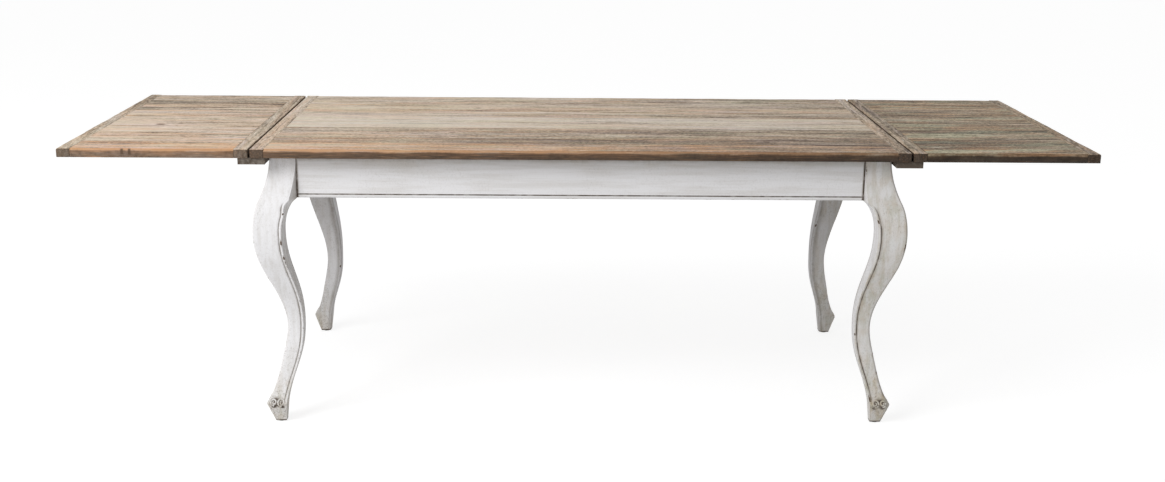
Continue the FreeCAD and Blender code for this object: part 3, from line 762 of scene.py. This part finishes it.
# Cross boards: light, warm, cool and fade, how stained and how light the sides are, and wear of both edges
CROSS_BOARDS = {
    "main_end_left": ((0.13, 0.30, 0.2, -0.15), 0.95, 1.0, (GAP_WEAR, SEAM_WEAR)),
    "main_end_right": ((-0.04, 0.30, 0.1, -0.30), 0.95, 0.55, (SEAM_WEAR, GAP_WEAR)),
    "left_leaf_end_inner": ((0.05, 0.25, 0.3, 0.15), 0.85, 1.0, (SEAM_WEAR, GAP_WEAR)),
    "left_leaf_end_outer": ((0.01, 0.30, 0.4, 0.15), 0.85, 1.0, (END_WEAR, SEAM_WEAR)),
    "right_leaf_end_inner": ((-0.10, 0.40, 0.0, 0.0), 0.95, 0.55, (GAP_WEAR, SEAM_WEAR)),
    "right_leaf_end_outer": ((-0.16, 0.35, 0.0, 0.0), 0.95, 0.50, (SEAM_WEAR, END_WEAR)),
}
CROSS_SEED, CROSS_CRACKS = 400, 2
CROSS_FADE, CROSS_GLOW = 0.0, 0.3
CROSS_SPECKS, CROSS_FIGURE, CROSS_TINTS = 1.1, 0.6, (0.15, 0.25)
CROSS_CLEAR = 0.3 * MM


def cross_board(node, seed, tone, side_dark, side_light, wear):
    """A board across an end of the top or of a leaf."""
    owner = "table" if node.startswith("main") else node.split("_end")[0]
    rosy = OCHRE if owner == "right_leaf" else PINK
    sides = (side_dark, side_light, CROSS_FADE, CROSS_GLOW)
    wood = weathered("weathered_" + node, seed, tone, sides, CROSS_FLECKS, CROSS_SPECKS, CROSS_FIGURE,
                     CROSS_TINTS, rosy)
    low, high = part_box(node)
    ends = (low[1] + CROSS_CLEAR, high[1] - CROSS_CLEAR)
    board(node, owner, 1, ends, wear, seed + SHAPE_SEED, wood, CROSS_CRACKS)


for number, (node, look) in enumerate(CROSS_BOARDS.items()):
    cross_board(node, CROSS_SEED + number, *look)

# Legs: denser skins on the CAD sections, with worn corners
APRON_SETBACK = 3 * MM
POST_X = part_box("apron_right")[1][0] + APRON_SETBACK
POST_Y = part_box("apron_rear")[1][1] + APRON_SETBACK
APRON_FOOT, UNDER_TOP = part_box("apron_front")[0][2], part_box("apron_front")[1][2]
LEG_STATION = 3 * MM
LEG_SEED, LEG_PAINT_SEED = 600, 620
CORNER, INNER_CORNER = 6 * MM, 8 * MM
CORNER_TURNS = [math.radians(a) for a in (22.5, 45, 67.5)]
CORNER_WAVES, DENT_WAVES = (0.03, 0.25), (0.02, 0.12)
DENT = 0.35 * MM
# The bead along the inner edge: lines across it, its crest and its most worn line, as shares of its width
BEAD, GROOVE, GROOVE_DEPTH = 6 * MM, 3 * MM, 2 * MM
BEAD_LINES, BEAD_CREST, BEAD_RUBBED = (0.0, 0.18, 0.35, 0.55, 0.8), 0.35, 0.18
BEAD_END, BEAD_START, BEAD_FADE = 0.060, APRON_FOOT - 4 * MM, 12 * MM
# Lines across its groove: share of the width, share of the depth and dirt
GROOVE_LINES = ((0.0, 1.0, 1.0), (0.45, 0.95, 1.0), (1.0, 0.0, 0.45))
FACE_LINES = 12
# The bead leaves the apron's end as the knee swells, and joins the free inner edge below
WEDGE_TOP, WEDGE_FOOT = UNDER_TOP - 25 * MM, APRON_FOOT - 45 * MM
WEDGES = {
    "leg_front_left": 17 * MM, "leg_front_right": 7 * MM,
    "leg_rear_left": 11 * MM, "leg_rear_right": 11 * MM,
}
LEG_STAIN = {"left": 0.05, "right": 0.70}
# Dirt on the outer corner of each leg; on the right legs it is mostly painted shade, a dark outline on the side
# turned from the lamp
CORNER_DIRT_AND_SHADE = {"left": 0.05, "right": 0.45}
GROOVE_DIRT = {"left": 0.72, "right": 1.0}
# Painted shade of the two inner flanks of each leg, laid on as stain, more on a flank turned from the lamp and
# less on a lit one: the one that faces along Y, then the one that faces along X
FLANK_PAINTED_SHADE = {
    "leg_front_left": (0.2, 0.40), "leg_front_right": (0.4, 0.06),
    "leg_rear_left": (0.05, 0.0), "leg_rear_right": (0.42, 0.0),
}
# Chips in the paint of each leg, on the bead, the outer corner or the inner corner: height and half length
CHIPS = {
    "leg_front_left": {"bead": [(0.602, 7 * MM), (0.522, 9 * MM), (0.478, 6 * MM)]},
    "leg_front_right": {
        "bead": [(0.589, 9 * MM), (0.250, 7 * MM), (0.072, 9 * MM)],
        "corner": [(0.521, 13 * MM)],
    },
    "leg_rear_left": {"inner": [(0.238, 9 * MM)]},
    "leg_rear_right": {"inner": [(0.380, 9 * MM), (0.343, 7 * MM)]},
}
CHIP_WEAR = 1.6
# Wear above which a line of a face takes chips, and above which it is dented
CHIPPED_FROM, DENTED_FROM = 0.8, 0.6
CORNER_WEAR, INNER_WEAR = 0.95, 0.9
# Dirt and painted shade in the carving: along the face, height, half width, half height and how dark
CARVED = [
    (5 * MM, 62 * MM, 26 * MM, 16 * MM, 1.5), (-11 * MM, 49 * MM, 8 * MM, 6 * MM, 1.8),
    (12 * MM, 50 * MM, 9 * MM, 6 * MM, 1.8),
]
FOOT_DIRT = 0.24


def leg_profile(node, side_x):
    """Inner and outer offset of a leg's section at many heights, read from its CAD mesh."""
    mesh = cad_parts[node].data
    points = np.array([v.co for v in mesh.vertices])
    edges = np.array([e.vertices for e in mesh.edges])
    a, b = points[edges[:, 0]], points[edges[:, 1]]
    low, high = points[:, 2].min(), points[:, 2].max()
    clear = 0.2 * MM
    heights = np.linspace(low + clear, high - clear, int((high - low) / LEG_STATION))
    inner, outer = [], []
    for z in heights:
        crossing = (np.minimum(a[:, 2], b[:, 2]) <= z) & (np.maximum(a[:, 2], b[:, 2]) > z)
        p, q = a[crossing], b[crossing]
        share = (z - p[:, 2]) / (q[:, 2] - p[:, 2])
        reach = side_x * (p[:, 0] + share * (q[:, 0] - p[:, 0])) - POST_X
        inner.append(reach.min())
        outer.append(reach.max())
    heights[0], heights[-1] = low, high
    return heights, np.array(inner), np.array(outer)


def leg_wedge(node, heights):
    """How far the bead stands off the inner edge beside the apron."""
    swell = np.clip((WEDGE_TOP - heights) / (WEDGE_TOP - APRON_FOOT), 0, 1) ** 1.4
    ease = np.clip((heights - WEDGE_FOOT) / (APRON_FOOT - WEDGE_FOOT), 0, 1)
    return WEDGES[node] * swell * ease * ease * (3 - 2 * ease)


def leg_lines(inner, outer, corner, depth):
    """Lines of one outer face from its inner edge to the corner: along it, below it, wear and dirt."""
    lines = []
    for t in BEAD_LINES:
        below = depth * ((t - BEAD_CREST) / (1 - BEAD_CREST)) ** 2
        lines.append((inner + BEAD * t, below, 1.0 - 0.5 * abs(t - BEAD_RUBBED), 0.6 * max(0.0, t - 0.5)))
    for t, share, dirt in GROOVE_LINES:
        lines.append((inner + BEAD + GROOVE * t, depth * share, 0.15, dirt))
    start, end = inner + BEAD + GROOVE, outer - corner
    for t in np.linspace(0, 1, FACE_LINES + 1)[1:]:
        wear, dirt = max(0.0, 0.70 - 7 * (1 - t)), max(0.0, 0.25 - 4 * t)
        lines.append((start + (end - start) * t, 0.0, wear, dirt))
    return lines


def leg_flank(heights, inner, outer, wedge):
    """One inner flank: a slant from the bead to the apron's face, then flat to the rounded inner corner."""
    framed = heights > APRON_FOOT
    crease = np.minimum(-APRON_SETBACK - 1 * MM, outer - 5 * MM)
    lines = []
    for t in (0.25, 0.5, 0.75):
        dirt = np.where(framed, 0.05 + 0.3 * t, 0.03)
        lines.append((outer + (crease - outer) * t, inner + wedge * (1 - t), 0.0, dirt))
    lines.append((crease, inner, 0.0, np.where(framed, 1.0, 0.03)))
    for t in (0.08, 0.35, 0.7):
        lines.append((crease + (inner + INNER_CORNER - crease) * t, inner, 0.0, np.where(framed, 0.6, 0.0)))
    lines.append((inner + INNER_CORNER, inner, 0.85, 0.55))
    return lines


def carving_dirt_and_shade(along, heights):
    """Dirt and painted shade in the carving on the toe."""
    spots = [dark * (1 - ((along - at) / half) ** 2 - ((heights - z) / rise) ** 2)
             for at, z, half, rise, dark in CARVED]
    return np.clip(np.max(spots, axis=0), 0, 1)


def chipped(wear, heights, chips):
    """Wear of an edge with chips in it."""
    for z, half in chips:
        wear = np.maximum(wear, CHIP_WEAR * (1 - ((heights - z) / half) ** 2))
    return wear


def mirrored(columns):
    """The same columns across the corner: in reverse, with their X and Y exchanged."""
    return [(y, x, *rest) for x, y, *rest in columns[::-1]]


def leg_wear(s, xyz):
    """Worn edges, dirty grooves and stain come from the mesh, with painted shade in the carving, on the right
    legs' outer corners and on shaded inner flanks; the post darkens just below the top with dirt and painted
    shadow, and the feet have more stain and specks.
    """
    dirt = s.math("MULTIPLY_ADD", s.step(xyz[2], FOOT_DIRT, 0.0), 0.55, s.mask("stain"))
    # Dirt and painted shadow of the top on the post, just below it
    under = s.step(xyz[2], UNDER_TOP - 14 * MM, UNDER_TOP + 3 * MM, 0.0, 0.9)
    scuffed = s.step(xyz[2], 9 * MM, 5 * MM)
    dirt_and_shade = s.math("MAXIMUM", s.math("MAXIMUM", s.mask("groove"), under), scuffed)
    return s.mask("edge"), dirt_and_shade, dirt, s.step(xyz[2], FOOT_DIRT, 0.05, 0.38, 0.95)


def leg(end, side):
    """A worn leg in the place of its node, with the scrolls on its toe."""
    node = f"leg_{end}_{side}"
    sx = -1 if side == "left" else 1
    sy = -1 if end == "front" else 1
    number = 2 * (end == "front") + (side == "left")
    rng = np.random.default_rng(LEG_SEED + number)
    heights, inner, outer = leg_profile(node, sx)
    corner = CORNER * (1 + 0.3 * ripple(rng, *CORNER_WAVES)(heights))
    dents = [DENT * (1 + ripple(rng, *DENT_WAVES)(heights)) for _ in range(2)]
    fade = np.clip(np.minimum(heights - BEAD_END, BEAD_START - heights) / BEAD_FADE, 0.0, 1.0)
    wedge = leg_wedge(node, heights)
    lines = leg_lines(inner + wedge, outer, corner, GROOVE_DEPTH * fade)
    flank = leg_flank(heights, inner, outer, wedge)
    flank_shade_y, flank_shade_x = FLANK_PAINTED_SHADE[node]
    stain = LEG_STAIN[side]
    chips = CHIPS[node]

    def face(dent, bead_chips):
        """Columns of one outer face: X, Y, wear, dirt with the painted shade of the carving, and stain."""
        columns = []
        for along, below, wear, groove in lines:
            worn = chipped(wear, heights, bead_chips) if wear > CHIPPED_FROM else wear
            dirt = np.maximum(GROOVE_DIRT[side] * groove * fade, carving_dirt_and_shade(along, heights))
            across = outer - below - (dent if wear > DENTED_FROM else 0)
            columns.append((along, across, worn, dirt, stain))
        return columns

    # The ring: one outer face, the outer corner, the other face, then both inner flanks
    columns = face(dents[0], chips.get("bead", ()))
    corner_wear = chipped(CORNER_WEAR, heights, chips.get("corner", ()))
    for turn in CORNER_TURNS:
        x, y = outer - corner * (1 - math.sin(turn)), outer - corner * (1 - math.cos(turn))
        columns.append((x, y, corner_wear, CORNER_DIRT_AND_SHADE[side], stain))
    columns += mirrored(face(dents[1], ()))
    # The inner flanks take their painted shade through the stain mask
    columns += [(*line, flank_shade_y) for line in flank]
    rounded = inner + 0.3 * INNER_CORNER
    columns.append((rounded, rounded, chipped(INNER_WEAR, heights, chips.get("inner", ())), 0.0, flank_shade_x))
    columns += mirrored([(*line, flank_shade_x) for line in flank])
    x, y, edges, groove_dirt_and_shade, stain_and_shade = gather(columns, len(heights))
    points = np.empty((*x.shape, 3))
    points[:, :, 0] = sx * (POST_X + x)
    points[:, :, 1] = sy * (POST_Y + y)
    points[:, :, 2] = heights[:, None]
    # The stain mask also holds the painted shade of the flanks, and the groove mask holds the painted shade in
    # the carving and on the right legs' outer corners
    masks = {"edge": edges, "groove": groove_dirt_and_shade, "stain": stain_and_shade}
    faces = skin(*x.shape, turned=sx * sy > 0)
    paint = painted("paint_" + node, LEG_PAINT_SEED + number, BRUSHED_Z, 0.0, leg_wear)
    piece = make_piece("worn_" + node, points, faces, "table", paint, masks)
    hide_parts(node)
    carve_toe(end, side, sx, sy, heights, outer, paint)


# Carved scrolls on the toes: centre along the face, centre height and radius
VOLUTES = [(-9 * MM, 62 * MM, 11.0 * MM), (12 * MM, 62 * MM, 9.5 * MM)]
SCROLL_STEPS, SCROLL_TURNS, SCROLL_CLOSING = 44, 1.45, 0.80
SCROLL_THICK, SCROLL_THINNING = 2.9 * MM, 1.3 * MM
SCROLL_SUNK = 1.0 * MM
SCROLL_WEAR = 0.8
TUBE_SIDES = 8
# A direction that no scroll runs along
TUBE_UP = (0.31, 0.22, 0.92)


def tube(path, radii):
    """A closed round tube along a path."""
    ahead = np.gradient(path, axis=0)
    ahead /= np.linalg.norm(ahead, axis=1)[:, None]
    first = np.cross(ahead, TUBE_UP)
    first /= np.linalg.norm(first, axis=1)[:, None]
    second = np.cross(ahead, first)
    turns = np.linspace(0, 2 * math.pi, TUBE_SIDES, endpoint=False)[None, :, None]
    ring = np.cos(turns) * first[:, None, :] + np.sin(turns) * second[:, None, :]
    points = path[:, None, :] + radii[:, None, None] * ring
    return points.reshape(-1, 3), skin(len(path), TUBE_SIDES)


def carve_toe(end, side, sx, sy, heights, outer, paint):
    """Scrolls on both outer faces of a toe."""
    blocks, faces = [], []
    t = np.linspace(0, 1, SCROLL_STEPS)
    turn = -math.pi / 2 + 2 * math.pi * SCROLL_TURNS * t
    for at, height, size in VOLUTES:
        radius = size * (1 - SCROLL_CLOSING * t)
        along, z = at + radius * np.cos(turn), height + radius * np.sin(turn)
        across = np.interp(z, heights, outer) - SCROLL_SUNK
        for x, y in ((along, across), (across, along)):
            path = np.stack([sx * (POST_X + x), sy * (POST_Y + y), z], 1)
            block, block_faces = tube(path, SCROLL_THICK - SCROLL_THINNING * t)
            offset = sum(len(other) for other in blocks)
            blocks.append(block)
            faces.extend(tuple(i + offset for i in f) for f in block_faces)
    points = np.concatenate(blocks)
    masks = {
        "edge": np.full(len(points), SCROLL_WEAR),
        "groove": np.zeros(len(points)),
        "stain": np.full(len(points), LEG_STAIN[side]),
    }
    make_piece(f"toe_scroll_{end}_{side}", points, faces, "table", paint, masks)


for end in ("front", "rear"):
    for side in ("left", "right"):
        leg(end, side)

# Aprons keep their CAD shape
BEAD_LINE = APRON_FOOT + 10.5 * MM
JOINT_LINE = 8 * MM
APRON_GRIT, APRON_BEIGE = 0.16, 0.05
APRON_SEED = 700


def apron_wear(axis, end):
    """Masks for an apron along an axis that reaches to plus and minus end."""
    def wear(s, xyz):
        """A worn foot, dark lines at the quirk above the bead and at both ends, and dirt with painted shadow
        below the top.
        """
        foot = s.step(xyz[2], APRON_FOOT + 4 * MM, APRON_FOOT + 0.5 * MM, 0.0, 0.97)
        off_line = s.math("ABSOLUTE", s.math("SUBTRACT", xyz[2], BEAD_LINE))
        quirk = s.step(off_line, 2.6 * MM, 1.0 * MM, 0.0, 0.9)
        joint = s.step(s.math("ABSOLUTE", xyz[axis]), end - JOINT_LINE, end - 0.3 * JOINT_LINE)
        # Dirt and painted shadow of the top's overhang: a dark band along the apron just below the top
        under = s.step(xyz[2], UNDER_TOP - 22 * MM, UNDER_TOP - 5 * MM, 0.0, 0.72)
        dirt_and_shade = s.math("MAXIMUM", s.math("MAXIMUM", quirk, joint), under)
        return foot, dirt_and_shade, s.step(xyz[2], UNDER_TOP - 50 * MM, UNDER_TOP, 0.0, 0.35), APRON_GRIT
    return wear


def dress(node, material):
    """Give a CAD node a material."""
    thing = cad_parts[node]
    thing.data.materials.clear()
    thing.data.materials.append(material)


for number, side in enumerate(("front", "rear", "left", "right")):
    node = f"apron_{side}"
    axis = 0 if side in ("front", "rear") else 1
    strokes = BRUSHED_X if axis == 0 else BRUSHED_Y
    wear = apron_wear(axis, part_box(node)[1][axis])
    dress(node, painted("paint_" + node, APRON_SEED + number, strokes, APRON_BEIGE, wear))

# Fittings and woodwork below the top keep their CAD shape
FITTINGS = ("leg_hanger_bolts", "leg_flange_nuts", "top_button_screws", "left_leaf_screws", "right_leaf_screws")
BLOCK_SEED, RAIL_SEED, BUTTON_SEED, BEARER_SEED, BATTEN_SEED = 41, 42, 43, 50, 60
BLOCK_LIGHT, RAIL_LIGHT, BUTTON_LIGHT, BEARER_LIGHT = 0.05, 0.0, 0.06, -0.02
BATTEN_LIGHTS = (-0.08, -0.26)
steel = old_steel()
for node in FITTINGS:
    dress(node, steel)
dress("foot_glides", dark_glide())
block_wood = bare_wood("block_wood", BLOCK_SEED, ALONG_Z, BLOCK_LIGHT)
for end in ("front", "rear"):
    for side in ("left", "right"):
        dress(f"corner_block_{end}_{side}", block_wood)
rail_wood = bare_wood("rail_wood", RAIL_SEED, ALONG_Y, RAIL_LIGHT)
for side in ("left", "right"):
    dress(f"cross_rail_{side}", rail_wood)
dress("top_buttons", bare_wood("button_wood", BUTTON_SEED, ALONG_Y, BUTTON_LIGHT))
for number, leaf in enumerate(("left_leaf", "right_leaf")):
    for place in ("front", "rear"):
        wood = bare_wood(f"bearer_wood_{leaf}_{place}", BEARER_SEED + number, ALONG_X, BEARER_LIGHT)
        dress(f"{leaf}_bearer_{place}", wood)
    for place in ("front", "centre", "rear"):
        wood = bare_wood(f"batten_wood_{leaf}_{place}", BATTEN_SEED + number, ALONG_Y, BATTEN_LIGHTS[number])
        dress(f"{leaf}_lap_batten_{place}", wood)

# Studio: white floor and surroundings, one large soft lamp at the left
FLOOR_HALF = 40.0
FLOOR_BOUNCE, FLOOR_SEEN = (0.88, 0.88, 0.88, 1), (0.34, 0.34, 0.34, 1)
FLOOR_GLOW = 0.80
WHITE = (1, 1, 1, 1)
WORLD_FILL, WORLD_SEEN = 0.52, 1.0
LAMP_AT, LAMP_TARGET = (-3.6, -3.0, 3.4), (-0.2, 0.0, 0.5)
LAMP_SIZE, LAMP_WATTS, LAMP_TINT = 2.8, 194, (0.985, 0.99, 1.0)


def direct_rays(s):
    """1 for rays that show the surroundings themselves: to the camera, in gloss and through glass."""
    rays = s.add("LightPath").outputs
    direct = s.math("MAXIMUM", rays["Is Camera Ray"], rays["Is Glossy Ray"])
    return s.math("MAXIMUM", direct, rays["Is Transmission Ray"])


def pick_by_ray(s, lighting, seen, target):
    """One shader lights the object, and the other is what is seen directly."""
    pick = s.add("MixShader", direct_rays(s), lighting.outputs[0], seen.outputs[0])
    s.fill(target, pick.outputs[0])


def make_floor():
    """A pale floor that looks white and keeps the table's shadow."""
    material = bpy.data.materials.new("studio_floor")
    s = Nodes(material)
    s.nodes.clear()
    bounce = s.add("BsdfDiffuse", Color=FLOOR_BOUNCE)
    shade = s.add("BsdfDiffuse", Color=FLOOR_SEEN)
    glow = s.add("Emission", Strength=FLOOR_GLOW)
    seen = s.add("AddShader", shade.outputs[0], glow.outputs[0])
    pick_by_ray(s, bounce, seen, s.add("OutputMaterial"))
    mesh = bpy.data.meshes.new("floor")
    corners = [(x * FLOOR_HALF, y * FLOOR_HALF, 0) for x, y in ((-1, -1), (1, -1), (1, 1), (-1, 1))]
    mesh.from_pydata(corners, [], [(0, 1, 2, 3)])
    mesh.materials.append(material)
    floor = link(bpy.data.objects.new("floor", mesh))


def make_world():
    """Even fill light, and a white background."""
    world = bpy.data.worlds.new("studio")
    bpy.context.scene.world = world
    s = Nodes(world)
    fill = s.fill(s.nodes["Background"], Color=WHITE, Strength=WORLD_FILL)
    white = s.add("Background", Color=WHITE, Strength=WORLD_SEEN)
    pick_by_ray(s, fill, white, s.nodes["World Output"])


def make_lamp():
    """A large square lamp that shines on the table from the front left."""
    data = bpy.data.lights.new("key", "AREA")
    data.shape = "SQUARE"
    data.size = LAMP_SIZE
    data.energy = LAMP_WATTS
    data.color = LAMP_TINT
    lamp = link(bpy.data.objects.new("key", data))
    lamp.location = LAMP_AT
    lamp.rotation_euler = (Vector(LAMP_TARGET) - Vector(LAMP_AT)).to_track_quat("-Z", "Y").to_euler()


make_floor()
make_world()
make_lamp()

bpy.context.scene.view_settings.view_transform = "Standard"
